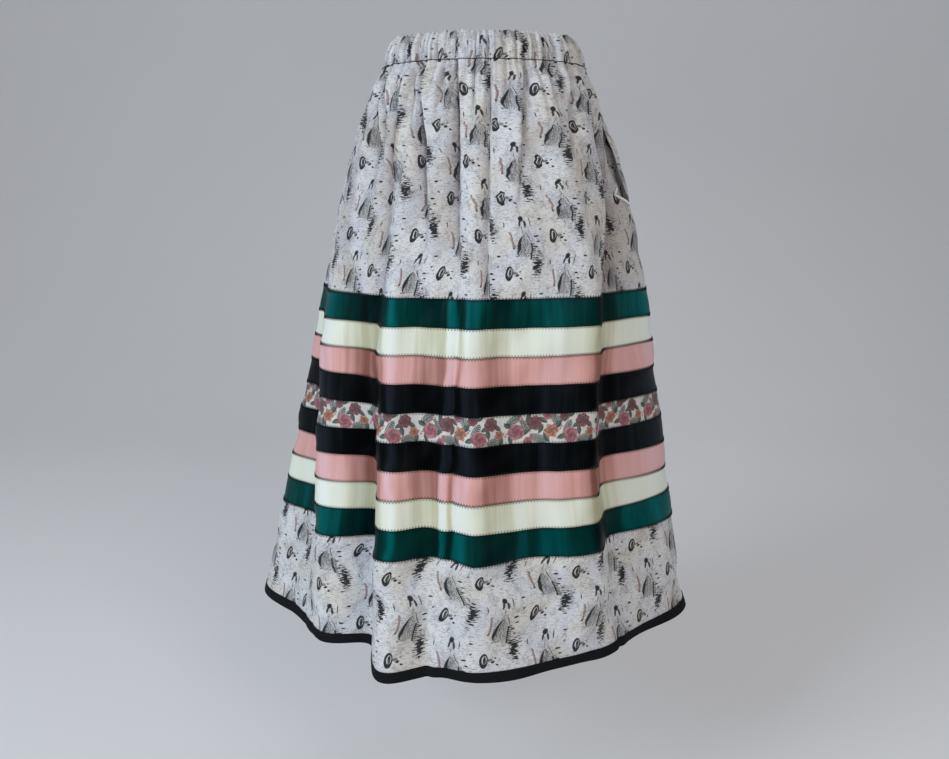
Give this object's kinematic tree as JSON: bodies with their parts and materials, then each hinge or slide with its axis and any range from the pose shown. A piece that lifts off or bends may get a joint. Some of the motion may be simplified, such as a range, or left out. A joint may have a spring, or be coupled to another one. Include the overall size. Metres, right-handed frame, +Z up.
{
  "type": "ribbon skirt, as worn",
  "caption": "Long gathered cotton skirt with bands of satin ribbon sewn round it, an elastic waist, a side pocket and a bound hem, held in its worn shape.",
  "frame": {"origin": "middle of the waist opening, level with the top edge of the waistband", "axes": "+Z up along the wearer, the skirt hangs down from the origin; its front faces -Y and the side with the pocket is at +X"},
  "size_m": [0.6544, 0.617, 0.8329],
  "materials": {
    "birch_cotton": "matt printed quilting cotton, grey birch bark marks on white",
    "black_binding": "matt black cotton bias tape",
    "green_satin": "deep teal green satin ribbon, soft sheen",
    "cream_satin": "cream satin ribbon, soft sheen",
    "pink_satin": "dusty pink satin ribbon, soft sheen",
    "black_satin": "black satin ribbon, soft sheen",
    "flowered_ribbon": "printed ribbon, roses and leaves on white"
  },
  "bodies": {
    "root": {"waistband_front": "birch_cotton", "waistband_back": "birch_cotton", "panel_front": "birch_cotton", "panel_back": "birch_cotton", "pocket_bag": "birch_cotton", "hem_binding": "black_binding", "ribbon_1_green_front": "green_satin", "ribbon_1_green_back": "green_satin", "ribbon_2_cream_front": "cream_satin", "ribbon_2_cream_back": "cream_satin", "ribbon_3_pink_front": "pink_satin", "ribbon_3_pink_back": "pink_satin", "ribbon_4_black_front": "black_satin", "ribbon_4_black_back": "black_satin", "ribbon_5_flowered_front": "flowered_ribbon", "ribbon_5_flowered_back": "flowered_ribbon", "ribbon_6_black_front": "black_satin", "ribbon_6_black_back": "black_satin", "ribbon_7_pink_front": "pink_satin", "ribbon_7_pink_back": "pink_satin", "ribbon_8_cream_front": "cream_satin", "ribbon_8_cream_back": "cream_satin", "ribbon_9_green_front": "green_satin", "ribbon_9_green_back": "green_satin"}
  },
  "joints": []
}
